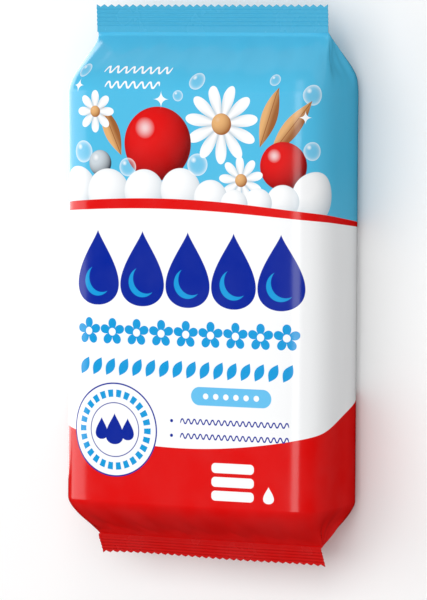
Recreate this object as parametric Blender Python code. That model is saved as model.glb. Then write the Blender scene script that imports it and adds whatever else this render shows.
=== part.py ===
"""Wet wipes pack: one sealed, gusseted film pack lying on its back.

+X runs across the pack, +Y towards its top end seal and +Z out of its front. The origin is under
the middle of the pack, at the level that it rests on. All sizes are in metres.
"""

import math

import bmesh
import bpy
import numpy as np

# Overall sizes
LENGTH = 0.305
BODY_WIDTH = 0.156
BODY_THICKNESS = 0.073
SEAL_LEVEL = 0.039

# The section: a flat middle, and a corner of the form |x|^power + |z|^power = 1 on each side of it
FRONT_FLAT = 0.024
FRONT_POWER = 4.3
BACK_FLAT = 0.052
BACK_POWER = 3.5
CORNER_STEPS = 9

# Shoulders, where the pack closes from its full thickness to its end seals
TOP_FRONT_SHOULDER = (0.104, 0.1355)
TOP_BACK_SHOULDER = (0.1115, 0.1385)
BOTTOM_FRONT_SHOULDER = (0.119, 0.1415)
BOTTOM_BACK_SHOULDER = (0.119, 0.1430)
SHOULDER_STEPS = 10
SHOULDER_ROUNDNESS = 1.7
TOP_SWEEP = 1.2
BOTTOM_SWEEP = 1.05
SIDE_TUCK = 0.004

# End seals, crimped into ridges that run across the pack and cut to a zigzag edge
TOP_SEAL_WIDTH = 0.139
BOTTOM_SEAL_WIDTH = 0.135
BOTTOM_SEAL_DROOP = math.radians(35)
NECK_THICKNESS = 0.0007
NECK_OVERLAP = 0.0012
SEAL_THICKNESS = 0.0009
TOP_PLAIN_STRIP = 0.0020
BOTTOM_PLAIN_STRIP = 0.0004
RIDGE_COUNT = 5
RIDGE_PITCH = 0.0022
RIDGE_HEIGHT = 0.0003
POINTS_PER_RIDGE = 6
TOOTH_COUNT = 32
TOOTH_DEPTH = 0.0014

# Lengthwise fin seal, folded flat against the back between two shallow grooves
FIN_WIDTH = 0.012
GROOVE_WIDTH = 0.0005
GROOVE_DEPTH = 0.0004

HALF_LENGTH = LENGTH / 2
FILM_BLUE = (0.10, 0.55, 0.86, 1.0)


def fullness(distance, shoulder, sweep):
    """How open the pack is at a distance from its middle: 1 along the body, 0 at the neck."""
    start, neck = shoulder
    run = min(max((distance - start) / (neck - start), 0.0), 1.0)
    return (1.0 - run**SHOULDER_ROUNDNESS) ** sweep


def corner(half_width, flat, height, power):
    """Points from the middle of the side to the end of the flat, as offsets (x, z)."""
    angle = np.linspace(0.0, math.pi / 2, CORNER_STEPS + 1)
    across = flat + (half_width - flat) * np.cos(angle) ** (2.0 / power)
    rise = height * np.sin(angle) ** (2.0 / power)
    return np.column_stack([across, rise])


def fin_grooves(level, depth):
    """Back points from right to left that sink the two grooves beside the fin."""
    points = []
    for edge in (FIN_WIDTH + GROOVE_WIDTH, 0.0):
        inner = edge - GROOVE_WIDTH
        points += [(edge, level), (edge, level + depth), (inner, level + depth), (inner, level)]
    return np.array(points)


def section(y):
    """The closed outline of the pack at y, seen along the length, as an array of (x, y, z)."""
    distance = abs(y)
    top = y > 0
    sweep = TOP_SWEEP if top else BOTTOM_SWEEP
    front_open = fullness(distance, TOP_FRONT_SHOULDER if top else BOTTOM_FRONT_SHOULDER, sweep)
    back_open = fullness(distance, TOP_BACK_SHOULDER if top else BOTTOM_BACK_SHOULDER, sweep)
    seal_half = (TOP_SEAL_WIDTH if top else BOTTOM_SEAL_WIDTH) / 2 - NECK_THICKNESS / 2
    side_open = (front_open + back_open) / 2
    half_width = seal_half + (BODY_WIDTH / 2 - seal_half) * side_open
    shrink = half_width / (BODY_WIDTH / 2)

    front = SEAL_LEVEL + NECK_THICKNESS / 2
    front += (BODY_THICKNESS - front) * front_open
    back = (SEAL_LEVEL - NECK_THICKNESS / 2) * (1.0 - back_open)
    middle = (front + back) / 2

    upper = corner(half_width, FRONT_FLAT * shrink, front - middle, FRONT_POWER)
    lower = corner(half_width, BACK_FLAT * shrink, middle - back, BACK_POWER)
    tuck = SIDE_TUCK * 27 / 4 * side_open**2 * (1.0 - side_open)
    upper[:, 0] -= tuck * (1.0 - (upper[:, 1] / (front - middle)) ** 2) ** 2
    lower[:, 0] -= tuck * (1.0 - (lower[:, 1] / (middle - back)) ** 2) ** 2

    groove = min(GROOVE_DEPTH, 0.3 * (front - back))
    mirror = np.array([-1.0, 1.0])
    right_side = upper + (0.0, middle)
    left_side = (upper * mirror)[::-1] + (0.0, middle)
    left_back = (lower * mirror)[1:] * (1.0, -1.0) + (0.0, middle)
    right_back = lower[::-1][:-1] * (1.0, -1.0) + (0.0, middle)
    outline = np.vstack([right_side, left_side, left_back, fin_grooves(back, groove)[::-1], right_back])
    return np.column_stack([outline[:, 0], np.full(len(outline), y), outline[:, 1]])


def shoulder_rows(front_shoulder, back_shoulder):
    """Distances from the middle for the rows of one shoulder, closer together where it turns."""
    start = min(front_shoulder[0], back_shoulder[0])
    neck = max(front_shoulder[1], back_shoulder[1])
    turn = np.linspace(0.0, 1.0, SHOULDER_STEPS + 1)
    rows = start + (neck - start) * (turn + np.sin(math.tau * turn) / (3 * math.pi))
    return np.unique(np.concatenate([rows, [front_shoulder[0], back_shoulder[0]]]))


def new_object(name, mesh_tool):
    """Turn a bmesh into an object and link it to the scene."""
    bmesh.ops.recalc_face_normals(mesh_tool, faces=mesh_tool.faces)
    mesh = bpy.data.meshes.new(name)
    mesh_tool.to_mesh(mesh)
    mesh_tool.free()
    made = bpy.data.objects.new(name, mesh)
    bpy.context.scene.collection.objects.link(made)
    return made


def make_body():
    """Loft the sections from the bottom neck to the top neck and close both ends."""
    top_rows = shoulder_rows(TOP_FRONT_SHOULDER, TOP_BACK_SHOULDER)
    bottom_rows = shoulder_rows(BOTTOM_FRONT_SHOULDER, BOTTOM_BACK_SHOULDER)
    rows = np.concatenate([-bottom_rows[::-1], top_rows])

    mesh_tool = bmesh.new()
    rings = [[mesh_tool.verts.new(point) for point in section(y)] for y in rows]
    count = len(rings[0])
    for near, far in zip(rings, rings[1:]):
        for i in range(count):
            j = (i + 1) % count
            mesh_tool.faces.new((near[i], near[j], far[j], far[i]))
    mesh_tool.faces.new(rings[0])
    mesh_tool.faces.new(rings[-1])
    return new_object("film_pack", mesh_tool)


def seal_profile(neck, plain_strip, droop):
    """Side view of one end seal as (distance, level) points.

    From inside the neck it runs level, then bends down by the droop angle into a plain strip, its
    ridges and a lip. The lip passes the pack's end and is cut back to the zigzag.
    """
    lip = (HALF_LENGTH - neck + TOOTH_DEPTH) / math.cos(droop)
    steps = np.arange(RIDGE_COUNT * POINTS_PER_RIDGE + 1)
    ridge_rise = RIDGE_HEIGHT * (1.0 - np.cos(steps / POINTS_PER_RIDGE * math.tau)) / 2
    run = np.concatenate([[0.0], plain_strip + steps * RIDGE_PITCH / POINTS_PER_RIDGE, [lip]])
    rise = np.concatenate([[0.0], ridge_rise, [0.0]])
    sides = []
    for offset in (SEAL_THICKNESS / 2, -SEAL_THICKNESS / 2):
        distance = neck + run * math.cos(droop) + (rise + offset) * math.sin(droop)
        level = SEAL_LEVEL - run * math.sin(droop) + (rise + offset) * math.cos(droop)
        side = np.column_stack([distance, level])
        sides.append(np.vstack([(neck - NECK_OVERLAP, SEAL_LEVEL + offset), side]))
    return np.vstack([sides[0], sides[1][::-1]])


def extrude_outline(name, points, offset):
    """A prism: a flat closed outline carried along the vector offset."""
    mesh_tool = bmesh.new()
    face = mesh_tool.faces.new([mesh_tool.verts.new(point) for point in points])
    moved = bmesh.ops.extrude_face_region(mesh_tool, geom=[face])["geom"]
    moved_verts = [part for part in moved if isinstance(part, bmesh.types.BMVert)]
    bmesh.ops.translate(mesh_tool, verts=moved_verts, vec=offset)
    return new_object(name, mesh_tool)


def zigzag_cutter(name, width, direction):
    """A block whose inner side is the zigzag that the end seal's edge is cut to."""
    corners = np.arange(-1, 2 * TOOTH_COUNT + 2)
    across = -width / 2 + corners * width / (2 * TOOTH_COUNT)
    along = HALF_LENGTH - TOOTH_DEPTH * (corners % 2)
    outer = HALF_LENGTH + 5 * TOOTH_DEPTH
    outline = [*zip(across, along), (across[-1], outer), (across[0], outer)]
    points = [(x, direction * y, 0.0) for x, y in outline]
    return extrude_outline(name, points, (0.0, 0.0, 2 * SEAL_LEVEL))


def use_as_tool(tool):
    """Mark an object as construction only."""
    tool.hide_render = True
    tool.display_type = "WIRE"


def add_boolean(target, tool, operation):
    """Add a Boolean modifier that stays on the object."""
    modifier = target.modifiers.new(tool.name, "BOOLEAN")
    modifier.operation = operation
    modifier.solver = "EXACT"
    modifier.object = tool
    use_as_tool(tool)


def make_end_seal(end, direction, width, neck, plain_strip, droop):
    """One end seal: its crimped strip across the pack, with the edge cut to a zigzag."""
    profile = seal_profile(neck, plain_strip, droop)
    points = [(-width / 2, direction * distance, level) for distance, level in profile]
    strip = extrude_outline(end + "_seal", points, (width, 0.0, 0.0))
    add_boolean(strip, zigzag_cutter(end + "_cutter", width, direction), "DIFFERENCE")
    return strip


def film_material():
    """The blue of the film's upper part, with its satin finish."""
    material = bpy.data.materials.new("printed_film")
    material.use_nodes = True
    shader = material.node_tree.nodes["Principled BSDF"]
    shader.inputs["Base Color"].default_value = FILM_BLUE
    shader.inputs["Roughness"].default_value = 0.32
    shader.inputs["Metallic"].default_value = 0.0
    return material


def main():
    for old in list(bpy.data.objects):
        bpy.data.objects.remove(old, do_unlink=True)

    pack = make_body()
    pack.data.materials.append(film_material())
    top_neck = TOP_BACK_SHOULDER[1]
    bottom_neck = BOTTOM_BACK_SHOULDER[1]
    seals = [
        make_end_seal("top", 1, TOP_SEAL_WIDTH, top_neck, TOP_PLAIN_STRIP, 0.0),
        make_end_seal(
            "bottom", -1, BOTTOM_SEAL_WIDTH, bottom_neck, BOTTOM_PLAIN_STRIP, BOTTOM_SEAL_DROOP
        ),
    ]
    for seal in seals:
        add_boolean(pack, seal, "UNION")
    pack.data.shade_smooth()
    pack.data.set_sharp_from_angle(angle=math.radians(40))


main()
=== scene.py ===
"""Wet wipes pack: the looks of a sealed film pack of wipes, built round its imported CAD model.

The pack lies on its back: +X runs across it, +Y towards its top end seal, +Z out of its front.
Lengths are in metres. The print is laid out in millimetres on the film, across and along it from
the middle of the front.
"""

import math
from functools import partial

import bpy
import numpy as np
from bpy.props import FloatProperty, FloatVectorProperty, IntProperty, PointerProperty
from mathutils import Matrix, Vector


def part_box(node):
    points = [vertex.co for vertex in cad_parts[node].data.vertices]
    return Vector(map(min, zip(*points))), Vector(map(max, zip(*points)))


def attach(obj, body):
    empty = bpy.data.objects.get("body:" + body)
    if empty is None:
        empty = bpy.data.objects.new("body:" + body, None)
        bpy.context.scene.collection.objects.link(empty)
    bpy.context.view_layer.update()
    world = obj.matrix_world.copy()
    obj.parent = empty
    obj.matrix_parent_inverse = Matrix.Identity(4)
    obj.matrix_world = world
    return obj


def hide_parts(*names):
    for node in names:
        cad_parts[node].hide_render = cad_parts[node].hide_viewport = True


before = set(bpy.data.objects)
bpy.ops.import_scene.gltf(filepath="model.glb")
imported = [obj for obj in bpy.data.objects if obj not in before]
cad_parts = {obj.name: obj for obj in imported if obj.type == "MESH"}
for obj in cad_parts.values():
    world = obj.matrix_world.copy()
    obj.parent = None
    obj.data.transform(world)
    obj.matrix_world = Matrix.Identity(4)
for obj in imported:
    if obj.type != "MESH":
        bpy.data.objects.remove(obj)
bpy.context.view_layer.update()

bl_info = {
    "name": "Wet Wipes Pack",
    "version": (1, 0, 0),
    "blender": (4, 5, 0),
    "location": "View3D > Sidebar > Wipes",
    "description": "Builds a sealed film pack of wet wipes: body, end seals, fin seal and studio",
    "category": "Object",
}

PACK_NODE = "film_pack"
LOW_CORNER, HIGH_CORNER = (Vector(corner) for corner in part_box(PACK_NODE))
PACK_SIZE = HIGH_CORNER - LOW_CORNER
MM = 0.001
UV_SPAN = 0.5  # metres of film that one unit of the UV map covers
GIRTH = 0.421  # metres of film once round the body


# ---- Settings ----


def length_setting(name, description, default):
    """A length in metres that the sidebar shows with its unit."""
    return FloatProperty(
        name=name, description=description, default=default, unit="LENGTH", precision=4
    )


def ink_setting(name, description, red, green, blue):
    """A printing ink, given in steps from 0 to 255 and kept as linear colour."""
    linear = [(value / 255) ** 2.2 for value in (red, green, blue)]
    return FloatVectorProperty(
        name=name, description=description, subtype="COLOR", default=linear, min=0.0, max=1.0
    )


class PackShape(bpy.types.PropertyGroup):
    """Sizes of the pack's body and seals."""

    width: length_setting("Width", "Widest part of the body", PACK_SIZE.x)
    length: length_setting("Length", "Over both end seals", PACK_SIZE.y)
    thickness: length_setting("Thickness", "From the back to the front", PACK_SIZE.z)
    seal_level: length_setting("Seal level", "Height of the end seals over the back", 0.039)
    front_flat: length_setting("Front flat", "Half width of the front's flat middle", 0.024)
    back_flat: length_setting("Back flat", "Half width of the back that rests", 0.052)
    top_seal: length_setting("Top seal", "Width of the top end seal", 0.139)
    bottom_seal: length_setting("Bottom seal", "Width of the bottom end seal", 0.135)
    seal_film: length_setting("Seal film", "Thickness of the welded film", 0.0006)
    ridge_pitch: length_setting("Ridge pitch", "Distance between crimp ridges", 0.0022)
    ridge_height: length_setting("Ridge height", "Rise of a crimp ridge", 0.00045)
    ridge_count: IntProperty(name="Ridges", description="Crimp ridges on each end seal", default=5)
    tooth_count: IntProperty(name="Teeth", description="Teeth along each cut edge", default=32)
    tooth_depth: length_setting("Tooth depth", "Depth of the zigzag cut", 0.0014)
    fin_width: length_setting("Fin width", "Width of the fin seal on the back", 0.012)
    pucker: length_setting("Pucker", "Height of the gathers near the end seals", 0.00022)


class FilmInks(bpy.types.PropertyGroup):
    """Colours of the printed film."""

    sky: ink_setting("Sky blue", "Upper field", 78, 182, 222)
    mist: ink_setting("Mist blue", "Paler foot of the upper field", 118, 200, 230)
    white: ink_setting("White", "Middle field and light motifs", 244, 245, 246)
    shade: ink_setting("Shade", "Shadow side of the white motifs", 196, 205, 212)
    red: ink_setting("Red", "Band, lower field and red motifs", 218, 14, 12)
    wine: ink_setting("Wine", "Shadow side of the red motifs", 120, 6, 8)
    navy: ink_setting("Navy", "Bold drops and fine lines", 4, 40, 150)
    azure: ink_setting("Azure", "Lighter rows and beads", 20, 150, 214)
    pale_azure: ink_setting("Pale azure", "Pill of dots", 101, 188, 234)
    tan: ink_setting("Tan", "Leaves and flower centres", 222, 170, 112)
    bark: ink_setting("Bark", "Shadow side of the tan motifs", 150, 92, 48)
    slate: ink_setting("Slate", "Small dark accents", 52, 60, 70)


# ---- Surfaces ----

FRONT_POWER = 4.3
BACK_POWER = 3.5
SHOULDER_ROUNDNESS = 1.7
TOP_SWEEP = 1.2
BOTTOM_SWEEP = 1.05
SIDE_TUCK = 0.004
NECK_THICKNESS = 0.0005
NECK_OVERLAP = 0.0012
# Where each shoulder starts and where it meets the end seal, measured from the pack's middle
TOP_FRONT = (0.104, 0.1355)
TOP_BACK = (0.1115, 0.1385)
BOTTOM_FRONT = (0.119, 0.1415)
BOTTOM_BACK = (0.119, 0.1430)
TOP_PLAIN_STRIP = 0.0020
BOTTOM_PLAIN_STRIP = 0.0004
BOTTOM_DROOP = math.radians(35)

# Steps of the body's grid; its rows lie further apart over the middle stretch
CURVE_SAMPLES = 6001
FRONT_CORNER_STEPS, FRONT_FLAT_STEPS = 58, 12
BACK_CORNER_STEPS, BACK_FLAT_STEPS = 42, 30
MIDDLE_STRETCH = (-0.112, 0.098)
BOTTOM_ROWS, MIDDLE_ROWS, TOP_ROWS = 74, 60, 86

# Relief of the body; each gather is (spread in mm, share, start, how it drifts along the pack)
GATHERS = ((3.1, 1.0, 0.0, 1.0), (5.3, 0.8, 2.0, -1.0), (1.9, 0.6, 0.0, 0.0))
WAVE_HEIGHT = 0.00035
WAVES_FROM, WAVES_OVER = 0.012, 0.02  # levels between which the waves grow to their full height

# End seals: grid steps, a slight sway across the strip and the lift of its corners
SEAL_ROWS = 72
STEPS_PER_TOOTH = 4
RIM = 0.0001
SEAL_SWAY, SWAY_SPREAD = 0.0005, 0.021
CORNER_LIFT = 0.0011

# Fin seal, and the shallow bed behind it
FIN_ROWS, FIN_COLUMNS = 240, 13
FIN_END_GAP = 0.0005
FIN_FILM = 0.0003
FIN_PROUD = 0.00005
FIN_CLEARANCE = 0.00002
FIN_PUCKER, FIN_PUCKER_SPREAD = 0.0001, 0.009
SLOPE_ALLOWANCE = 0.0004  # more room where the back climbs
BED_MARGIN, BED_SLOPE, BED_DEPTH = 0.0006, 0.0005, 0.00045
BED_EDGE = np.linspace(-0.0007, 0.0009, 6)
MIN_OPENING = 0.001


def openness(along, top_shoulder, bottom_shoulder):
    """1 along the body, falling to 0 at each neck as (1 - run ** roundness) ** sweep."""
    start = np.where(along > 0, top_shoulder[0], bottom_shoulder[0])
    neck = np.where(along > 0, top_shoulder[1], bottom_shoulder[1])
    run = np.clip((np.abs(along) - start) / (neck - start), 0.0, 1.0)
    return (1.0 - run**SHOULDER_ROUNDNESS) ** np.where(along > 0, TOP_SWEEP, BOTTOM_SWEEP)


def back_level(shape, along):
    """Level of the back: 0 under the body, rising to the end seals as the pack closes."""
    closed = 1.0 - openness(along, TOP_BACK, BOTTOM_BACK)
    return (shape.seal_level - NECK_THICKNESS / 2) * closed


def front_level(shape, along):
    """Level of the front: the full thickness over the body, falling to the end seals."""
    neck = shape.seal_level + NECK_THICKNESS / 2
    return neck + (shape.thickness - neck) * openness(along, TOP_FRONT, BOTTOM_FRONT)


def even_corner(half_width, flat, height, power, steps):
    """Corner columns, evenly spaced along the curve |x| ** power + |z| ** power = 1.

    Each row is (share of the corner's width, share of the flat, share of the height), from the
    middle of the side to the edge of the flat.
    """
    angle = math.pi / 4 * (1.0 - np.cos(np.linspace(0.0, math.pi, CURVE_SAMPLES)))
    width_share = np.cos(angle).clip(0.0) ** (2.0 / power)
    height_share = np.sin(angle).clip(0.0) ** (2.0 / power)
    step = np.hypot(np.diff(width_share) * (half_width - flat), np.diff(height_share) * height)
    travelled = np.concatenate([[0.0], np.cumsum(step)])
    even = np.interp(np.linspace(0.0, travelled[-1], steps + 1), travelled, angle)
    columns = [np.cos(even).clip(0.0), np.sin(even).clip(0.0)]
    width_share, height_share = (column ** (2.0 / power) for column in columns)
    return np.column_stack([width_share, np.ones(steps + 1), height_share])


def film_columns(shape):
    """The film's columns, once round the pack from the middle of the back over the front.

    Returns side (-1 left, 1 right), front (bool) and the three shares of even_corner.
    """
    half = shape.thickness / 2
    wide = shape.width / 2
    front_corner = even_corner(wide, shape.front_flat, half, FRONT_POWER, FRONT_CORNER_STEPS)
    back_corner = even_corner(wide, shape.back_flat, half, BACK_POWER, BACK_CORNER_STEPS)
    front_shares = np.linspace(1.0, 0.0, FRONT_FLAT_STEPS + 1)[1:]
    front_flat = [(0.0, share, 1.0) for share in front_shares]
    # More columns at the two edges of the fin seal's bed
    bed_edges = np.concatenate([np.linspace(0.0, 0.0007, 4), shape.fin_width + BED_EDGE])
    even_shares = np.linspace(0.0, 1.0, BACK_FLAT_STEPS + 1)[:-1]
    back_shares = np.unique(np.concatenate([even_shares, bed_edges / shape.back_flat]))
    back_flat = [(0.0, share, 1.0) for share in back_shares]
    quarter_back = np.vstack([back_flat, back_corner[::-1]])
    quarter_front = np.vstack([front_corner[1:], front_flat])
    left = np.vstack([quarter_back, quarter_front])
    is_front = np.arange(len(left)) >= len(quarter_back)
    # The middle of the front belongs to both halves, so the right half leaves it out.
    shares = np.vstack([left, left[::-1][1:]])
    front = np.concatenate([is_front, is_front[::-1][1:]])
    side = np.concatenate([-np.ones(len(left)), np.ones(len(left) - 1)])
    return side, front, shares


def body_points(shape, along, side, front, shares):
    """The body's surface as rows along the pack by columns round it.

    Each row is a flat middle with a rounded corner at both ends, above and below the middle
    level. Its sides are tucked in a little while the pack closes, and its back stands in behind
    the fin seal.
    """
    y = along[:, None]
    front_z = front_level(shape, y)
    back_z = back_level(shape, y)
    middle = (front_z + back_z) / 2
    open_share = (openness(y, TOP_FRONT, BOTTOM_FRONT) + openness(y, TOP_BACK, BOTTOM_BACK)) / 2
    seal_half = np.where(y > 0, shape.top_seal, shape.bottom_seal) / 2 - NECK_THICKNESS / 2
    half_width = seal_half + (shape.width / 2 - seal_half) * open_share
    flat = np.where(front, shape.front_flat, shape.back_flat) * half_width / (shape.width / 2)
    width_share, flat_share, height_share = shares.T
    tuck = SIDE_TUCK * 27 / 4 * open_share**2 * (1.0 - open_share)
    across = flat * flat_share + (half_width - flat) * width_share
    across = across - tuck * (1.0 - height_share**2) ** 2
    level = np.where(front, middle + height_share * (front_z - middle), middle)
    level = np.where(front, level, middle - height_share * (middle - back_z))
    x = side * across
    inset = np.minimum(x + BED_MARGIN, shape.fin_width + BED_MARGIN - x) / BED_SLOPE
    bed = np.where(front | (middle - back_z <= MIN_OPENING), 0.0, BED_DEPTH * inset.clip(0.0, 1.0))
    return np.stack([x, np.broadcast_to(y, level.shape), level + bed], axis=-1)


def surface_normals(points):
    """Unit normals of a grid whose rows run along the pack and whose columns run round it."""
    round_step = np.roll(points, -1, axis=1) - np.roll(points, 1, axis=1)
    along_step = np.gradient(points, axis=0)
    normal = np.cross(round_step, along_step)
    return normal / np.linalg.norm(normal, axis=-1, keepdims=True).clip(1e-12)


def body_rows():
    """Distances along the pack for the body's rows, closer together over the shoulders."""
    low, high = MIDDLE_STRETCH
    bottom = np.linspace(-BOTTOM_BACK[1], low, BOTTOM_ROWS)
    middle = np.linspace(low, high, MIDDLE_ROWS)[1:-1]
    top = np.linspace(high, TOP_BACK[1], TOP_ROWS)
    return np.concatenate([bottom, middle, top])


def relief(shape, points, around, front):
    """How far the film stands out: gathers that fade from the end seals, and broad soft waves.

    The gathers are a sum of sines across the film. They are strongest a third of the way down a
    shoulder. The waves are products of long sines along and round the film.
    """
    y = points[..., 1]
    shoulder = 1.0 - openness(y, TOP_FRONT, BOTTOM_FRONT)
    near_seal = shoulder * (1.0 - shoulder) * 4.0
    u = around / MM
    drift = 1.5 * np.sin(y / MM / 7.0)
    gather = sum(
        share * np.sin(u / spread + start + sway * drift) for spread, share, start, sway in GATHERS
    )
    stretch = np.sin(u / 23.0 + 0.7) * np.sin(y / MM / 31.0) + np.sin(u / 37.0 - y / MM / 45.0)
    lift = np.clip((points[..., 2] - WAVES_FROM) / WAVES_OVER, 0.0, 1.0)
    waves = WAVE_HEIGHT * stretch * (1.0 - shoulder) * lift
    return shape.pucker * gather * near_seal + np.where(front, waves, waves * lift)


def add_piece(name, vertices, faces, film_position):
    """Make an object from arrays; film_position gives each face corner its place on the film."""
    mesh = bpy.data.meshes.new(name)
    mesh.from_pydata(vertices.tolist(), [], faces)
    layer = mesh.uv_layers.new(name="Film")
    layer.data.foreach_set("uv", (film_position / UV_SPAN + 0.5).astype(np.float32).ravel())
    mesh.shade_smooth()
    piece = bpy.data.objects.new(name, mesh)
    bpy.context.scene.collection.objects.link(piece)
    return piece


def quad_indices(rows, columns):
    """Corner numbers of every quad in a grid of rows by columns of points."""
    start = (np.arange(rows - 1)[:, None] * columns + np.arange(columns - 1)).ravel()
    return np.column_stack([start, start + 1, start + columns + 1, start + columns])


def build_body(shape):
    """The filled body: the film once round the sheets, from one neck to the other."""
    side, front, shares = film_columns(shape)
    along = body_rows()
    points = body_points(shape, along, side, front, shares)
    middle_ring = body_points(shape, np.zeros(1), side, front, shares)[0]
    closed_ring = np.vstack([middle_ring, middle_ring[:1]])
    steps = np.linalg.norm(np.diff(closed_ring, axis=0), axis=1)
    around = np.concatenate([[0.0], np.cumsum(steps)])
    around -= around[-1] / 2
    rings = points[:, :-1]  # the last column is the first one again
    lift = relief(shape, rings, around[:-2], front[:-1])
    rings = rings + surface_normals(rings) * lift[..., None]
    rings[..., 2] = rings[..., 2].clip(0.0)

    rows, columns = rings.shape[:2]
    quads = quad_indices(rows, columns + 1)
    film = np.stack(np.broadcast_arrays(around[: columns + 1], along[:, None]), axis=-1)
    corners = film.reshape(-1, 2)[quads.ravel()]
    row_of, column_of = np.divmod(quads, columns + 1)
    quads = row_of * columns + column_of % columns
    first_cap = list(range(columns))[::-1]
    last_cap = [(rows - 1) * columns + column for column in range(columns)]
    cap_corners = np.vstack([film[0, :columns][::-1], film[-1, :columns]])
    faces = quads.tolist() + [first_cap, last_cap]
    return add_piece("film_body", rings.reshape(-1, 3), faces, np.vstack([corners, cap_corners]))


def build_plate(name, front, back, seam=None):
    """A thin closed strip between two grids of points, with walls round its edge.

    It carries the print of the front, or of the back measured from the film's seam.
    """
    rows, columns = front.shape[:2]
    grid = quad_indices(rows, columns)
    count = rows * columns
    numbers = np.arange(count).reshape(rows, columns)
    border = np.concatenate(
        [numbers[0, :-1], numbers[:-1, -1], numbers[-1, :0:-1], numbers[:0:-1, 0]]
    )
    following = np.roll(border, -1)
    walls = np.column_stack([border, border + count, following + count, following])
    quads = np.vstack([grid, grid[:, ::-1] + count, walls])
    vertices = np.vstack([front.reshape(-1, 3), back.reshape(-1, 3)])
    film = vertices[:, :2] if seam is None else vertices[:, :2] * (-1.0, 1.0) + (seam, 0.0)
    piece = add_piece(name, vertices, quads.tolist(), film[quads.ravel()])
    piece.data.set_sharp_from_angle(angle=math.radians(50))
    return piece


def build_end_seal(shape, name, direction, width, neck, plain_strip, droop):
    """One end seal: welded film in cosine ridges, bent down by an angle, cut to a zigzag.

    It sways as a sine across the pack, and its corners lift as the sixth power of the distance
    from the middle; both grow towards the cut edge.
    """
    across = np.linspace(-0.5, 0.5, STEPS_PER_TOOTH * shape.tooth_count + 1)
    tooth = np.abs((across + 0.5) * shape.tooth_count % 1.0 - 0.5) * 2.0
    full = (shape.length / 2 - neck) / math.cos(droop)
    cut_depth = shape.tooth_depth / math.cos(droop)
    cut = full - cut_depth * (1.0 - tooth)
    straight_end = full - cut_depth - RIM
    run = np.linspace(0.0, straight_end, SEAL_ROWS)[:, None] * np.ones(len(across))
    run = np.vstack([run, (run[-1] + cut) / 2, cut])

    ridges_end = shape.ridge_count * shape.ridge_pitch
    phase = np.clip(run - plain_strip, 0.0, ridges_end) / shape.ridge_pitch * math.tau
    rise = shape.ridge_height * (1.0 - np.cos(phase)) / 2
    x = across * width + np.zeros_like(run)
    curl = run / full
    rise = rise + SEAL_SWAY * curl * np.sin(x / SWAY_SPREAD + 0.6)
    rise = rise + CORNER_LIFT * curl**2 * (2 * across) ** 6

    sides = []
    for offset in (shape.seal_film / 2, -shape.seal_film / 2):
        y = neck + run * math.cos(droop) + (rise + offset) * math.sin(droop)
        z = shape.seal_level - run * math.sin(droop) + (rise + offset) * math.cos(droop)
        tail_y = np.full_like(y[:1], neck - NECK_OVERLAP)
        tail_z = np.full_like(z[:1], shape.seal_level + offset)
        y, z = np.vstack([tail_y, y]), np.vstack([tail_z, z])
        grid = np.stack([np.vstack([x[:1], x]), direction * y, z], axis=-1)
        sides.append(grid[::direction])
    return build_plate(name, *sides)


def build_fin(shape):
    """The lengthwise fin seal, folded flat on the back and climbing both shoulders with it.

    Its outer face keeps a little below the back's level, puckers as a squared sine where the back
    climbs, and never goes below the level that the pack rests on.
    """
    along = np.linspace(-BOTTOM_BACK[1] + FIN_END_GAP, TOP_BACK[1] - FIN_END_GAP, FIN_ROWS)
    across = np.linspace(0.0, shape.fin_width, FIN_COLUMNS)
    y, x = np.meshgrid(along, across, indexing="ij")
    outer = back_level(shape, y) - FIN_PROUD
    slope = np.abs(np.gradient(outer, along, axis=0))
    pucker = FIN_PUCKER * np.sin(y / FIN_PUCKER_SPREAD) ** 2 * (slope > 0)
    outer = np.maximum(outer - SLOPE_ALLOWANCE * slope - pucker, FIN_CLEARANCE)
    inner = outer + FIN_FILM + SLOPE_ALLOWANCE * slope
    sheets = (np.stack([x, y, level], axis=-1) for level in (inner, outer))
    return build_plate("fin_seal", *sheets, seam=GIRTH / 2)


# ---- Shader node helpers ----


def plug(value, socket):
    """Feed a socket from another socket, or set its own value."""
    if isinstance(value, bpy.types.NodeSocket):
        socket.id_data.links.new(value, socket)
    else:
        socket.default_value = value


def tree_of(values):
    """The node tree that the sockets among the values belong to."""
    return next(value.id_data for value in values if isinstance(value, bpy.types.NodeSocket))


def calc(operation, *values, clamp=False):
    """A Math node's result."""
    node = tree_of(values).nodes.new("ShaderNodeMath")
    node.operation = operation
    node.use_clamp = clamp
    for value, socket in zip(values, node.inputs):
        plug(value, socket)
    return node.outputs[0]


times = partial(calc, "MULTIPLY")
minus = partial(calc, "SUBTRACT")
absolute = partial(calc, "ABSOLUTE")


def blend(share, under, over):
    """Colour under with colour over laid on it by a share from 0 to 1."""
    node = tree_of((share, under, over)).nodes.new("ShaderNodeMix")
    node.data_type = "RGBA"
    plug(share, node.inputs["Factor"])
    plug(under, node.inputs["A"])
    plug(over, node.inputs["B"])
    return node.outputs["Result"]


def new_group(name, inputs, outputs):
    """A shader node group with float inputs, {name: default}, and named float outputs.

    Returns the sockets inside it that bring its inputs and take its outputs.
    """
    tree = bpy.data.node_groups.new(name, "ShaderNodeTree")
    number = {"socket_type": "NodeSocketFloat"}
    for title, default in inputs.items():
        socket = tree.interface.new_socket(name=title, in_out="INPUT", **number)
        socket.default_value = default
    for title in outputs:
        tree.interface.new_socket(name=title, in_out="OUTPUT", **number)
    entry = tree.nodes.new("NodeGroupInput")
    leave = tree.nodes.new("NodeGroupOutput")
    return entry.outputs, leave.inputs


def use_group(group, values):
    """Place a node group with its own values, and return its outputs."""
    node = tree_of(values.values()).nodes.new("ShaderNodeGroup")
    node.node_tree = bpy.data.node_groups[group]
    for title, value in values.items():
        plug(value, node.inputs[title])
    return node.outputs


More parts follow.
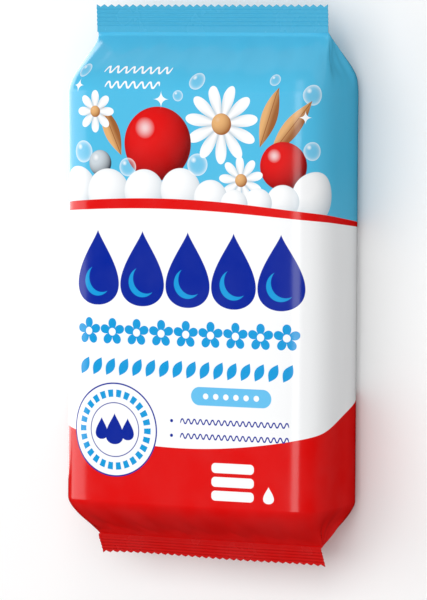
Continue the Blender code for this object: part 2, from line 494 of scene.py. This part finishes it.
PLACE_INPUTS = {"Across": 0.0, "Along": 0.0}
SHAPE_INPUTS = {**PLACE_INPUTS, "Centre Across": 0.0, "Centre Along": 0.0, "Turn": 0.0}
EDGE = 0.16  # softness of a printed edge, in millimetres
RIB_HALF_WIDTH = 0.22

# Colour fields: levels along the film in mm, and how far they swing once round it
BAND_LEVEL, BAND_SWING, BAND_SHIFT = 39.0, 8.3, 15.0
BAND_DEPTH, BAND_DEPTH_SWING = 3.7, 1.8
LOWER_LEVEL, LOWER_SWING = -72.5, -15.3
LOWER_CORNER, LOWER_CLIMB = 82.0, 0.10

# Film relief: (scale across, scale along, detail) of the slack, the swell and the cloud
RELIEF_NOISES = ((0.10, 0.022, 1.0), (0.03, 0.02, 0.0), (0.06, 0.05, 3.0))
SLACK_SHARE = 0.3


def local_axes(entry):
    """Across and Along, measured from a motif's centre and turned with it."""
    x = minus(entry["Across"], entry["Centre Across"])
    y = minus(entry["Along"], entry["Centre Along"])
    turn = calc("RADIANS", entry["Turn"])
    cosine = calc("COSINE", turn)
    sine = calc("SINE", turn)
    turned_x = calc("MULTIPLY_ADD", x, cosine, times(y, sine))
    back = times(x, sine)
    turned_y = minus(times(y, cosine), back)
    return turned_x, turned_y


def soft_edge(inside):
    """1 inside a shape and 0 outside, from its inward distance in millimetres."""
    return calc("MULTIPLY_ADD", inside, 1.0 / EDGE, 0.5, clamp=True)


def distance_from(x, y):
    """Length of the vector (x, y)."""
    square = calc("MULTIPLY_ADD", x, x, times(y, y))
    return calc("SQRT", square)


def spindle_mask(x, y, half_width, half_height):
    """Mask of a shape whose half width varies with y and whose tips are at its half height."""
    inside = minus(half_width, absolute(x))
    ends = minus(half_height, absolute(y))
    return soft_edge(calc("MINIMUM", inside, ends))


def make_disc_group():
    """Print Disc: a round spot with the shading of a ball lit from the upper left."""
    inputs = {**SHAPE_INPUTS, "Radius": 5.0}
    entry, leave = new_group("Print Disc", inputs, ("Mask", "Reach", "Light", "Glint"))
    x, y = local_axes(entry)
    radius = entry["Radius"]
    away = distance_from(x, y)
    reach = calc("DIVIDE", away, radius)
    plug(soft_edge(minus(radius, away)), leave["Mask"])
    plug(reach, leave["Reach"])
    facing = minus(1.0, times(reach, reach), clamp=True)
    facing = calc("SQRT", facing)
    slant = calc("DIVIDE", minus(y, x), radius)
    light = calc("MULTIPLY_ADD", slant, 0.42, times(facing, 0.8))
    plug(calc("ADD", light, 0.12, clamp=True), leave["Light"])
    gx = calc("MULTIPLY_ADD", radius, 0.38, x)
    gy = calc("MULTIPLY_ADD", radius, -0.42, y)
    spread = times(radius, 0.3)
    past_glint = calc("DIVIDE", distance_from(gx, gy), spread)
    glint = minus(1.0, past_glint, clamp=True)
    plug(calc("SMOOTH_MIN", glint, 0.85, 0.2), leave["Glint"])


def make_petals_group():
    """Print Petals: a flower of edge radius * (0.3 + 0.7 * |cos(count * angle / 2)| ** 0.55)."""
    inputs = {**SHAPE_INPUTS, "Radius": 10.0, "Count": 9.0}
    entry, leave = new_group("Print Petals", inputs, ("Mask", "Reach", "Ray"))
    x, y = local_axes(entry)
    away = distance_from(x, y)
    half_count = calc("DIVIDE", entry["Count"], 2.0)
    angle = times(calc("ARCTAN2", y, x), half_count)
    ray = absolute(calc("COSINE", angle))
    lobe = calc("MULTIPLY_ADD", calc("POWER", ray, 0.55), 0.7, 0.3)
    edge = times(entry["Radius"], lobe)
    plug(soft_edge(minus(edge, away)), leave["Mask"])
    plug(calc("DIVIDE", away, entry["Radius"]), leave["Reach"])
    plug(ray, leave["Ray"])


def make_drop_group():
    """Print Drop: a drop of half height size, with a crescent of shine inside it.

    At height t its half width is size * fatness * sqrt(1 - t * t) * ((1 - t) / 2) ** 0.75.
    """
    inputs = {**SHAPE_INPUTS, "Size": 10.0, "Fatness": 0.9}
    entry, leave = new_group("Print Drop", inputs, ("Mask", "Shine"))
    x, y = local_axes(entry)
    size = entry["Size"]
    height = calc("DIVIDE", y, size)
    round_share = minus(1.0, times(height, height), clamp=True)
    taper = calc("MULTIPLY_ADD", height, -0.5, 0.5, clamp=True)
    half = times(calc("SQRT", round_share), calc("POWER", taper, 0.75))
    half = times(times(half, size), entry["Fatness"])
    plug(spindle_mask(x, y, half, size), leave["Mask"])
    low_y = calc("MULTIPLY_ADD", size, 0.36, y)
    moon = times(size, 0.40)
    within = minus(moon, distance_from(x, low_y))
    bite_x = calc("MULTIPLY_ADD", size, -0.13, x)
    bite_y = calc("MULTIPLY_ADD", size, -0.10, low_y)
    outside_bite = minus(distance_from(bite_x, bite_y), moon)
    crescent = calc("MINIMUM", within, outside_bite)
    plug(soft_edge(crescent), leave["Shine"])


def make_leaf_group():
    """Print Leaf: half width * cos(pi / 2 * y / half length), with a thin rib down its middle."""
    inputs = {**SHAPE_INPUTS, "Half Length": 12.0, "Half Width": 4.0}
    entry, leave = new_group("Print Leaf", inputs, ("Mask", "Rib", "Side"))
    x, y = local_axes(entry)
    share = calc("DIVIDE", y, entry["Half Length"])
    reach = calc("MINIMUM", absolute(share), 1.0)
    half = calc("COSINE", times(reach, math.pi / 2))
    half = times(half, entry["Half Width"])
    plug(spindle_mask(x, y, half, entry["Half Length"]), leave["Mask"])
    rib = minus(RIB_HALF_WIDTH, absolute(x))
    plug(soft_edge(rib), leave["Rib"])
    plug(calc("MULTIPLY_ADD", x, 0.22, 0.5, clamp=True), leave["Side"])


def make_sparkle_group():
    """Print Sparkle: a four-pointed star inside sqrt(|x|) + sqrt(|y|) = sqrt(size)."""
    inputs = {**SHAPE_INPUTS, "Size": 5.0}
    entry, leave = new_group("Print Sparkle", inputs, ("Mask",))
    x, y = local_axes(entry)
    roots = [calc("SQRT", absolute(axis)) for axis in (x, y)]
    root_size = calc("SQRT", entry["Size"])
    gap = minus(root_size, calc("ADD", *roots))
    plug(soft_edge(times(gap, root_size)), leave["Mask"])


def make_bar_group():
    """Print Bar: a rectangle with rounded corners."""
    inputs = {**SHAPE_INPUTS, "Half Width": 10.0, "Half Height": 3.0, "Corner": 2.0}
    entry, leave = new_group("Print Bar", inputs, ("Mask",))
    x, y = local_axes(entry)
    past = []
    for axis, half in ((x, "Half Width"), (y, "Half Height")):
        straight = minus(entry[half], entry["Corner"])
        beyond = minus(absolute(axis), straight)
        past.append(calc("MAXIMUM", beyond, 0.0))
    inside = minus(entry["Corner"], distance_from(*past))
    plug(soft_edge(inside), leave["Mask"])


def make_wave_group():
    """Print Wave: a stroke along centre + height * sin(2 pi * run / pitch), between two ends."""
    inputs = {**PLACE_INPUTS, "Centre Along": 0.0, "Start": -60.0, "End": 60.0}
    inputs.update({"Pitch": 20.0, "Height": 3.0, "Stroke": 2.0})
    entry, leave = new_group("Print Wave", inputs, ("Mask",))
    run = minus(entry["Across"], entry["Start"])
    phase = times(calc("DIVIDE", run, entry["Pitch"]), math.tau)
    crest = times(calc("SINE", phase), entry["Height"])
    level = minus(entry["Along"], entry["Centre Along"])
    level = minus(level, crest)
    steep = times(calc("COSINE", phase), entry["Height"])
    steep = times(calc("DIVIDE", steep, entry["Pitch"]), math.tau)
    straighten = calc("SQRT", calc("MULTIPLY_ADD", steep, steep, 1.0))
    off_line = calc("DIVIDE", level, straighten)
    before = calc("MAXIMUM", times(run, -1.0), 0.0)
    after = calc("MAXIMUM", minus(entry["Across"], entry["End"]), 0.0)
    away = distance_from(off_line, calc("ADD", before, after))
    half = times(entry["Stroke"], 0.5)
    plug(soft_edge(minus(half, away)), leave["Mask"])


def make_row_group():
    """Print Row: cuts a stretch of the film into equal cells and measures Across inside each."""
    inputs = {"Across": 0.0, "Start": -60.0, "Pitch": 10.0, "Count": 5.0}
    entry, leave = new_group("Print Row", inputs, ("Local", "Mask"))
    run = minus(entry["Across"], entry["Start"])
    place = calc("DIVIDE", run, entry["Pitch"])
    share = minus(calc("FRACT", place), 0.5)
    plug(times(share, entry["Pitch"]), leave["Local"])
    started = calc("GREATER_THAN", place, 0.0)
    unfinished = calc("LESS_THAN", place, entry["Count"])
    plug(times(started, unfinished), leave["Mask"])


def make_field_group():
    """Film Fields: the wavy edges of the colour fields, each a cosine once round the pack.

    The lower edge also climbs a little faster where it has just turned the pack's corners.
    """
    entry, leave = new_group("Film Fields", PLACE_INPUTS, ("Upper", "Band", "Lower"))
    once_round = math.tau / (GIRTH / MM)
    along = entry["Along"]
    shifted = calc("ADD", entry["Across"], BAND_SHIFT)
    swing = calc("COSINE", times(shifted, once_round))
    band_top = calc("MULTIPLY_ADD", swing, BAND_SWING, BAND_LEVEL)
    depth = calc("MULTIPLY_ADD", swing, BAND_DEPTH_SWING, BAND_DEPTH)
    band_foot = minus(band_top, depth)
    dip = calc("COSINE", times(entry["Across"], once_round))
    lower_top = calc("MULTIPLY_ADD", dip, LOWER_SWING, LOWER_LEVEL)
    past_corner = minus(absolute(entry["Across"]), LOWER_CORNER)
    past_corner = calc("SMOOTH_MAX", past_corner, 0.0, 8.0)
    past_corner = calc("SMOOTH_MIN", past_corner, 50.0, 40.0)
    lower_top = calc("MULTIPLY_ADD", past_corner, LOWER_CLIMB, lower_top)
    upper = soft_edge(minus(along, band_top))
    plug(upper, leave["Upper"])
    above_foot = soft_edge(minus(along, band_foot))
    plug(minus(above_foot, upper, clamp=True), leave["Band"])
    plug(soft_edge(minus(lower_top, along)), leave["Lower"])


def make_relief_group():
    """Film Relief: slack of the film, stretched along the pack, and a cloudiness of its surface."""
    entry, leave = new_group("Film Relief", PLACE_INPUTS, ("Height", "Cloud"))
    nodes = entry[0].id_data.nodes
    noises = []
    for across_scale, along_scale, detail in RELIEF_NOISES:
        place = nodes.new("ShaderNodeCombineXYZ")
        plug(times(entry["Across"], across_scale), place.inputs["X"])
        plug(times(entry["Along"], along_scale), place.inputs["Y"])
        noise = nodes.new("ShaderNodeTexNoise")
        noise.inputs["Scale"].default_value = 1.0
        noise.inputs["Detail"].default_value = detail
        plug(place.outputs[0], noise.inputs["Vector"])
        noises.append(noise.outputs[0])
    slack, swell, cloud = noises
    rest = times(swell, 1.0 - SLACK_SHARE)
    height = calc("MULTIPLY_ADD", slack, SLACK_SHARE, rest)
    plug(height, leave["Height"])
    plug(cloud, leave["Cloud"])


def make_groups():
    """Build every node group that the film's material uses."""
    round_motifs = (make_disc_group, make_petals_group, make_drop_group, make_leaf_group)
    other_motifs = (make_sparkle_group, make_bar_group, make_wave_group, make_row_group)
    for make in (*round_motifs, *other_motifs, make_field_group, make_relief_group):
        make()


# ---- The print ----


class Print:
    """Lays inks over each other on the film, in the order of the calls."""

    def __init__(self, inks, across, along):
        self.inks = inks
        self.across = across
        self.along = along
        self.colour = self.ink("white")

    def ink(self, name):
        """An ink's colour as a socket value."""
        return (*getattr(self.inks, name), 1.0)

    def shape(self, group, x=0.0, y=0.0, across=None, **sizes):
        """Outputs of a motif group centred at (x, y), in millimetres on the film."""
        values = {"Across": across or self.across, "Along": self.along}
        if "Centre Across" in bpy.data.node_groups[group].nodes["Group Input"].outputs:
            values["Centre Across"] = x
        values["Centre Along"] = y
        values.update({title.replace("_", " ").title(): value for title, value in sizes.items()})
        return use_group(group, values)

    def lay(self, mask, colour):
        """Print a colour, or a named ink, where the mask is 1."""
        if isinstance(colour, str):
            colour = self.ink(colour)
        self.colour = blend(mask, self.colour, colour)

    def ball(self, x, y, radius, dark, light, glint=0.75):
        """A glossy ball."""
        disc = self.shape("Print Disc", x, y, radius=radius)
        body = blend(disc["Light"], self.ink(dark), self.ink(light))
        shine = times(disc["Glint"], glint)
        body = blend(shine, body, self.ink("white"))
        self.lay(disc["Mask"], body)

    def bubble(self, x, y, radius):
        """A clear soap bubble: a pale rim, a faint fill and a glint."""
        disc = self.shape("Print Disc", x, y, radius=radius)
        rim = calc("POWER", disc["Reach"], 5.0)
        tint = calc("MULTIPLY_ADD", rim, 0.62, 0.10)
        glint = times(disc["Glint"], 0.8)
        tint = calc("ADD", tint, glint, clamp=True)
        self.lay(times(tint, disc["Mask"]), "white")

    def flower(self, x, y, radius, count, turn=0.0):
        """White petals round a tan heart."""
        petals = self.shape("Print Petals", x, y, radius=radius, count=count, turn=turn)
        depth = times(minus(1.0, petals["Ray"]), 1.5)
        fade = minus(1.15, petals["Reach"], clamp=True)
        shadow = times(depth, fade, clamp=True)
        self.lay(petals["Mask"], blend(shadow, self.ink("white"), self.ink("shade")))
        self.ball(x, y, radius * 0.27, "bark", "tan", glint=0.15)

    def leaf(self, x, y, half_length, half_width, turn):
        """A tan leaf with a darker side and rib."""
        sizes = {"half_length": half_length, "half_width": half_width, "turn": turn}
        leaf = self.shape("Print Leaf", x, y, **sizes)
        body = blend(leaf["Side"], self.ink("tan"), self.ink("bark"))
        body = blend(leaf["Rib"], body, self.ink("bark"))
        self.lay(leaf["Mask"], body)

    def row(self, group, start, pitch, cells, y, **sizes):
        """Outputs and mask of a motif repeated across the film."""
        spacing = {"Across": self.across, "Start": start, "Pitch": pitch, "Count": cells}
        place = use_group("Print Row", spacing)
        motif = self.shape(group, 0.0, y, across=place["Local"], **sizes)
        mask = times(motif["Mask"], place["Mask"])
        return motif, mask


def paint_fields(sheet, bouquet):
    """The upper blue, the motifs over it if asked for, the white, the band and the lower red."""
    fields = use_group("Film Fields", {"Across": sheet.across, "Along": sheet.along})
    paleness = calc("MULTIPLY_ADD", sheet.along, -0.007, 0.45, clamp=True)
    sheet.colour = blend(paleness, sheet.ink("sky"), sheet.ink("mist"))
    if bouquet:
        paint_bouquet(sheet)
    # Whatever hangs below the upper field is covered again.
    sheet.lay(minus(1.0, fields["Upper"]), "white")
    sheet.lay(fields["Band"], "red")
    sheet.lay(fields["Lower"], "red")


def paint_bouquet(sheet):
    """Flowers, leaves, red balls and soap bubbles over a bank of foam."""
    far_bubbles = ((-66, 116, 3.5), (6, 111, 4.5), (74, 104, 5.5), (-62, 72, 6), (52, 112, 3))
    for x, y, radius in far_bubbles:
        sheet.bubble(x, y, radius)
    for x, y, half_length, turn in ((50, 92, 17, -18), (62, 86, 19, -38), (-44, 84, 15, 24)):
        sheet.leaf(x, y, half_length, 4.6, turn)
    sheet.flower(-54, 94, 11.5, 8.0)
    sheet.flower(22, 88, 21.5, 11.0, turn=8.0)
    sheet.ball(-16, 77, 20, "wine", "red")
    sheet.ball(58, 66, 13, "wine", "red")
    sheet.flower(34, 58, 13, 9.0, turn=15.0)
    sheet.ball(-51, 66, 7, "slate", "shade", glint=0.9)
    foam = ((-66, 52, 12), (-46, 50, 13), (-24, 51, 12), (-2, 52, 12), (16, 48, 10))
    foam += ((76, 50, 13), (58, 47, 9), (44, 46, 8), (30, 45, 8))
    for x, y, radius in foam:
        sheet.ball(x, y, radius, "shade", "white", glint=0.0)
    for x, y, radius in ((-34, 64, 5), (8, 66, 6), (74, 74, 5), (-4, 103, 3)):
        sheet.bubble(x, y, radius)
    for x, y, size in ((-14, 101, 5), (70, 92, 4), (-66, 108, 4)):
        sheet.lay(sheet.shape("Print Sparkle", x, y, size=size)["Mask"], "white")


def paint_strokes(sheet):
    """Two white wavy strokes at the top."""
    sizes = {"pitch": 5.0, "height": 1.5, "stroke": 1.0}
    for y, start, end in ((116.5, -52, -12), (108.5, -48, -16)):
        stroke = sheet.shape("Print Wave", 0.0, y, start=start, end=end, **sizes)
        sheet.lay(stroke["Mask"], "white")


def paint_rows(sheet):
    """A bold row of drops over rows of flowers and leaves, a pill of dots and two fine strokes."""
    drops, mask = sheet.row("Print Drop", -66.0, 27.4, 5.0, 9.0, size=20.5, fatness=0.92)
    sheet.lay(mask, "navy")
    sheet.lay(times(drops["Shine"], mask), "azure")
    _, mask = sheet.row("Print Petals", -65.0, 14.8, 9.0, -26.0, radius=7.5, count=5.0, turn=90.0)
    sheet.lay(mask, "azure")
    _, mask = sheet.row("Print Disc", -65.0, 14.8, 9.0, -26.0, radius=2.1)
    sheet.lay(mask, "white")
    sizes = {"half_length": 5.4, "half_width": 2.7, "turn": -28.0}
    _, mask = sheet.row("Print Leaf", -64.0, 8.1, 16.0, -45.0, **sizes)
    sheet.lay(mask, "azure")
    pill = sheet.shape("Print Bar", 28.7, -59.0, half_width=23.7, half_height=5.0, corner=5.0)
    sheet.lay(pill["Mask"], "pale_azure")
    _, mask = sheet.row("Print Disc", 10.7, 6.0, 6.0, -59.0, radius=1.6)
    sheet.lay(mask, "white")
    sizes = {"start": -1.0, "end": 62.0, "pitch": 3.6, "height": 1.2, "stroke": 0.75}
    for y in (-73.0, -81.0):
        sheet.lay(sheet.shape("Print Disc", -6.5, y, radius=0.9)["Mask"], "navy")
        sheet.lay(sheet.shape("Print Wave", 0.0, y, **sizes)["Mask"], "navy")


def paint_badge(sheet, x, y):
    """A white disc with a navy rim, a ring of azure beads and three drops in its middle."""

    def disc(radius):
        return sheet.shape("Print Disc", x, y, radius=radius)["Mask"]

    sheet.lay(disc(25.8), "navy")
    sheet.lay(disc(25.0), "white")
    ring = sheet.shape("Print Petals", x, y, radius=22.2, count=26.0)
    beads = calc("GREATER_THAN", ring["Ray"], 0.55)
    beads = times(beads, calc("GREATER_THAN", ring["Reach"], 0.81))
    within = calc("LESS_THAN", ring["Reach"], 0.99)
    sheet.lay(times(beads, within), "azure")
    sheet.lay(minus(disc(15.0), disc(14.5)), "navy")
    for offset, size in ((-8.0, 6.0), (0.0, 8.5), (8.0, 6.0)):
        drop = sheet.shape("Print Drop", x + offset, y + 0.5, size=size, fatness=0.9)
        sheet.lay(drop["Mask"], "navy")


def paint_stack(sheet, x, y):
    """A white pile of folded sheets and a small drop beside it."""
    sizes = {"half_width": 12.5, "half_height": 2.7, "corner": 2.2}
    for level in (-7.5, 0.0, 7.5):
        sheet.lay(sheet.shape("Print Bar", x, y + level, **sizes)["Mask"], "white")
    drop = sheet.shape("Print Drop", x + 21.0, y - 6.0, size=4.6, fatness=0.95)
    sheet.lay(drop["Mask"], "white")


# Finish of the film, and the painted shade of the crimped seals
BASE_ROUGHNESS = (0.15, 0.24)  # of the body and of the crimped seals
CLOUD_ROUGHNESS = 0.06
CLOUD_HAZE, HAZE_START = 0.02, -0.006
# Painted shade: share of black laid over the colour of the crimped seals and the fin seal
CRIMP_PAINTED_SHADE = 0.15
BUMP_STRENGTH, BUMP_DISTANCE = 0.2, 0.0012


def make_film_material(inks, name, crimped):
    """Printed film with a satin gloss; the crimped seals are a little rougher than the body and
    darkened with painted shade.
    """
    material = bpy.data.materials.new(name)
    material.use_nodes = True
    tree = material.node_tree
    shader = tree.nodes["Principled BSDF"]
    uv = tree.nodes.new("ShaderNodeUVMap")
    uv.uv_map = "Film"
    split = tree.nodes.new("ShaderNodeSeparateXYZ")
    plug(uv.outputs["UV"], split.inputs[0])
    span = UV_SPAN / MM
    across = calc("MULTIPLY_ADD", split.outputs["X"], span, -span / 2)
    along = calc("MULTIPLY_ADD", split.outputs["Y"], span, -span / 2)

    sheet = Print(inks, across, along)
    paint_fields(sheet, bouquet=not crimped)
    if not crimped:
        paint_strokes(sheet)
        paint_rows(sheet)
        paint_badge(sheet, -41.0, -79.5)
        paint_stack(sheet, 30.0, -105.0)

    film = use_group("Film Relief", {"Across": across, "Along": along})
    if crimped:
        # Painted shade: the crimped seals and the fin seal are dimmed by mixing a share of black
        # into their colour.
        sheet.lay(CRIMP_PAINTED_SHADE, (0.0, 0.0, 0.0, 1.0))
    haze = calc("MULTIPLY_ADD", film["Cloud"], CLOUD_HAZE, HAZE_START, clamp=True)
    sheet.lay(haze, "white")
    plug(sheet.colour, shader.inputs["Base Color"])
    base = BASE_ROUGHNESS[crimped]
    roughness = calc("MULTIPLY_ADD", film["Cloud"], CLOUD_ROUGHNESS, base)
    plug(roughness, shader.inputs["Roughness"])
    bump = tree.nodes.new("ShaderNodeBump")
    bump.inputs["Strength"].default_value = BUMP_STRENGTH
    bump.inputs["Distance"].default_value = BUMP_DISTANCE
    plug(film["Height"], bump.inputs["Height"])
    plug(bump.outputs["Normal"], shader.inputs["Normal"])
    return material


def film_material(inks, crimped=False):
    """The printed film's material, made once for the body and once for the seals."""
    name = "crimped_print" if crimped else "body_print"
    if "Film Fields" not in bpy.data.node_groups:
        make_groups()
    return bpy.data.materials.get(name) or make_film_material(inks, name, crimped)


def finish_piece(piece, material):
    """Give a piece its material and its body."""
    piece.data.materials.append(material)
    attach(piece, "root")


# ---- Studio ----

CAMERA_AZIMUTH = math.radians(25.0)  # from the front's normal towards +X
CAMERA_RISE = math.radians(3.7)  # from the front's normal towards +Y
CAMERA_ROLL = math.radians(0.32)  # anticlockwise
CAMERA_DISTANCE = 2.15
CAMERA_LENS = 235.0
CAMERA_OFFSET = (0.0009, -0.0093)  # across and up the picture, from the pack's middle
FLOOR_HALF = 3.0
SURROUND = 0.40  # strength of the even white surround


def view_axes():
    """The camera's right, up and backward directions."""
    level = math.cos(CAMERA_RISE)
    toward = Vector((math.sin(CAMERA_AZIMUTH) * level, math.sin(CAMERA_RISE), 0.0))
    toward.z = math.cos(CAMERA_AZIMUTH) * level
    level_right = Vector((math.cos(CAMERA_AZIMUTH), 0.0, -math.sin(CAMERA_AZIMUTH)))
    level_up = toward.cross(level_right)
    right = level_right * math.cos(CAMERA_ROLL) + level_up * math.sin(CAMERA_ROLL)
    return right, toward.cross(right), toward


def direction(azimuth, rise, distance):
    """A place at a distance, turned from +Z towards +X and raised towards +Y, in degrees."""
    turn, lift = math.radians(azimuth), math.radians(rise)
    level = math.cos(lift)
    toward = Vector((math.sin(turn) * level, math.sin(lift), math.cos(turn) * level))
    return toward * distance


def build_camera():
    """A long lens over the pack, turned towards its right side."""
    right, up, toward = view_axes()
    middle = Vector((0.0, 0.0, PACK_SIZE.z / 2))
    target = middle + right * CAMERA_OFFSET[0] + up * CAMERA_OFFSET[1]
    data = bpy.data.cameras.new("camera")
    data.lens = CAMERA_LENS
    data.sensor_width = 36.0
    camera = bpy.data.objects.new("camera", data)
    rotation = Matrix((right, up, toward)).transposed().to_4x4()
    camera.matrix_world = Matrix.Translation(target + toward * CAMERA_DISTANCE) @ rotation
    bpy.context.scene.collection.objects.link(camera)
    bpy.context.scene.camera = camera


def add_area_light(name, place, target, size, power, glossy=True):
    """A rectangular soft light at a place, aimed at a target, with its second side along the pack.

    Only glossy lights show as highlights.
    """
    data = bpy.data.lights.new(name, "AREA")
    data.shape = "RECTANGLE"
    data.size, data.size_y = size
    data.energy = power
    light = bpy.data.objects.new(name, data)
    away = (Vector(place) - Vector(target)).normalized()
    along = Vector((0.0, 1.0, 0.0))
    along = (along - away * along.dot(away)).normalized()
    turn = Matrix((along.cross(away), along, away)).transposed().to_4x4()
    light.matrix_world = Matrix.Translation(place) @ turn
    light.visible_camera = False
    light.visible_glossy = glossy
    bpy.context.scene.collection.objects.link(light)


def build_floor():
    """A pale matt floor that is kept out of reflections, as if flagged off in a studio."""
    turns = ((-1, -1), (1, -1), (1, 1), (-1, 1))
    corners = [(FLOOR_HALF * x, FLOOR_HALF * y, 0.0) for x, y in turns]
    mesh = bpy.data.meshes.new("floor")
    mesh.from_pydata(corners, [], [(0, 1, 2, 3)])
    floor = bpy.data.objects.new("floor", mesh)
    bpy.context.scene.collection.objects.link(floor)
    material = bpy.data.materials.new("pale_floor")
    material.use_nodes = True
    shader = material.node_tree.nodes["Principled BSDF"]
    shader.inputs["Base Color"].default_value = (0.9, 0.9, 0.9, 1.0)
    shader.inputs["Roughness"].default_value = 0.9
    shader.inputs["Specular IOR Level"].default_value = 0.0
    mesh.materials.append(material)
    floor.visible_glossy = False


def build_lights():
    """An even surround, a broad soft key, strips for the long highlight and cards at the left."""
    world = bpy.data.worlds.new("studio")
    bpy.context.scene.world = world
    world.use_nodes = True
    surround = world.node_tree.nodes["Background"]
    surround.inputs["Color"].default_value = (1.0, 1.0, 1.0, 1.0)
    surround.inputs["Strength"].default_value = SURROUND
    world.cycles_visibility.glossy = False
    middle = (0.0, 0.0, 0.03)
    add_area_light("strip", direction(20, 4, 1.8), middle, (0.5, 2.0), 9.5)
    add_area_light("strip_top", direction(22, 52, 1.8), middle, (0.45, 1.2), 2.5)
    add_area_light("left_panel", direction(-70, 0, 1.2), middle, (0.95, 0.9), 5.2)
    add_area_light("left_card", (-0.32, 0.06, 0.004), (-0.28, 0.06, 0.3), (0.42, 0.36), 1.0)
    add_area_light("top_card", (0.1, 0.5, 0.004), (0.1, 0.47, 0.3), (0.7, 0.6), 0.5)
    add_area_light("broad", direction(-8, 9, 1.8), middle, (1.4, 1.4), 13.5, glossy=False)
    add_area_light("high", direction(-5, 40, 1.8), middle, (1.4, 0.8), 0.4, glossy=False)


# ---- Operators, panel and run ----


class WIPES_OT_body(bpy.types.Operator):
    """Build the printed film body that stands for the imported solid"""

    bl_idname = "wipes.body"
    bl_label = "Film Body"

    def execute(self, context):
        scene = context.scene
        body = build_body(scene.wipes_shape)
        finish_piece(body, film_material(scene.wipes_inks))
        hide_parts(PACK_NODE)
        return {"FINISHED"}


class WIPES_OT_end_seals(bpy.types.Operator):
    """Build the crimped end seals with their zigzag edges"""

    bl_idname = "wipes.end_seals"
    bl_label = "End Seals"

    def execute(self, context):
        shape = context.scene.wipes_shape
        material = film_material(context.scene.wipes_inks, crimped=True)
        top = (1, shape.top_seal, TOP_BACK[1], TOP_PLAIN_STRIP, 0.0)
        bottom = (-1, shape.bottom_seal, BOTTOM_BACK[1], BOTTOM_PLAIN_STRIP, BOTTOM_DROOP)
        for name, end in (("top_end_seal", top), ("bottom_end_seal", bottom)):
            finish_piece(build_end_seal(shape, name, *end), material)
        return {"FINISHED"}


class WIPES_OT_fin(bpy.types.Operator):
    """Build the lengthwise fin seal folded flat on the back"""

    bl_idname = "wipes.fin"
    bl_label = "Fin Seal"

    def execute(self, context):
        scene = context.scene
        fin = build_fin(scene.wipes_shape)
        finish_piece(fin, film_material(scene.wipes_inks, crimped=True))
        return {"FINISHED"}


class WIPES_OT_stage(bpy.types.Operator):
    """Build the floor, the lights and the camera"""

    bl_idname = "wipes.stage"
    bl_label = "Stage"

    def execute(self, context):
        build_floor()
        build_lights()
        build_camera()
        context.scene.view_settings.view_transform = "Standard"
        return {"FINISHED"}


class WIPES_PT_panel(bpy.types.Panel):
    """Lists the pack's operators and settings"""

    bl_idname = "WIPES_PT_panel"
    bl_label = "Wet Wipes Pack"
    bl_space_type = "VIEW_3D"
    bl_region_type = "UI"
    bl_category = "Wipes"

    def draw(self, context):
        for operator in OPERATORS:
            self.layout.operator(operator.bl_idname)
        for settings in (context.scene.wipes_shape, context.scene.wipes_inks):
            box = self.layout.box()
            for name in settings.bl_rna.properties.keys():
                if name not in {"rna_type", "name"}:
                    box.prop(settings, name)


OPERATORS = (WIPES_OT_body, WIPES_OT_end_seals, WIPES_OT_fin, WIPES_OT_stage)
CLASSES = (PackShape, FilmInks, *OPERATORS, WIPES_PT_panel)


def register():
    """Add the classes and the scene's settings."""
    for cls in CLASSES:
        bpy.utils.register_class(cls)
    bpy.types.Scene.wipes_shape = PointerProperty(type=PackShape)
    bpy.types.Scene.wipes_inks = PointerProperty(type=FilmInks)


def unregister():
    """Take the settings and the classes away again."""
    del bpy.types.Scene.wipes_inks
    del bpy.types.Scene.wipes_shape
    for cls in reversed(CLASSES):
        bpy.utils.unregister_class(cls)


def main():
    """Register the tools and run them in order."""
    register()
    bpy.ops.wipes.stage()
    bpy.ops.wipes.body()
    bpy.ops.wipes.end_seals()
    bpy.ops.wipes.fin()


if __name__ == "__main__":
    main()
